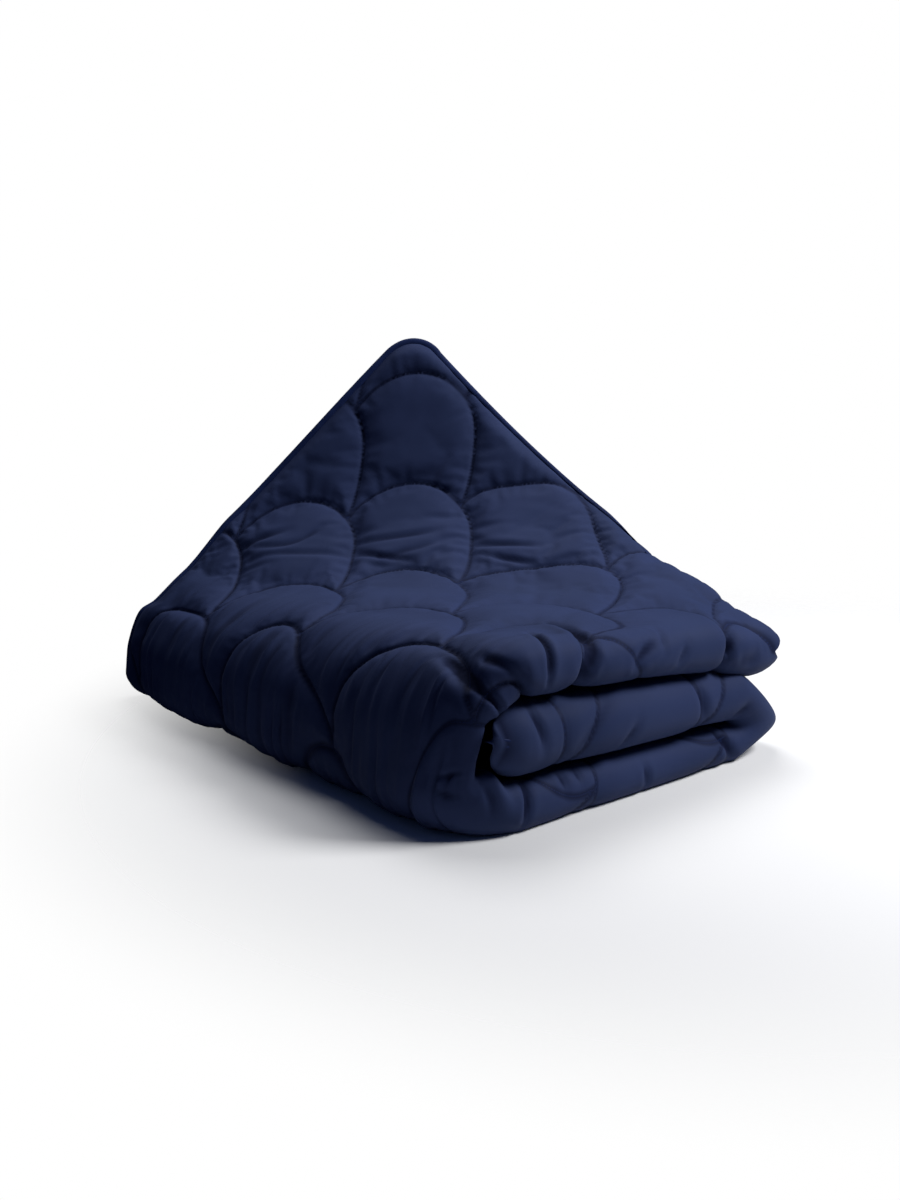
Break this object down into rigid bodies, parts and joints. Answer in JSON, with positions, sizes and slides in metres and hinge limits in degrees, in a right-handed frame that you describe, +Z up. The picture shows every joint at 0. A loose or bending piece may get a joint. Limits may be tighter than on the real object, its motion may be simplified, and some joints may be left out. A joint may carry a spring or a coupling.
{
  "type": "folded duvet",
  "caption": "Quilted navy duvet with scallop stitching and a bound edge, folded in half and then in three into a soft pile, with one corner of its upper ply lifted.",
  "frame": {"origin": "middle of the bounding box in plan, on the floor the pile rests on", "axes": "+Z up; +Y along the pile from the half fold at the front to the bound edges at the back; -X towards the large outer fold"},
  "size_m": [0.7518, 1.0334, 0.6739],
  "materials": {
    "duvet_cloth": "plain navy microfibre with a soft satin sheen",
    "binding_tape": "navy bias tape folded over the edge and topstitched"
  },
  "bodies": {
    "root": {"duvet_body": "duvet_cloth", "edge_binding": "binding_tape"}
  },
  "joints": []
}
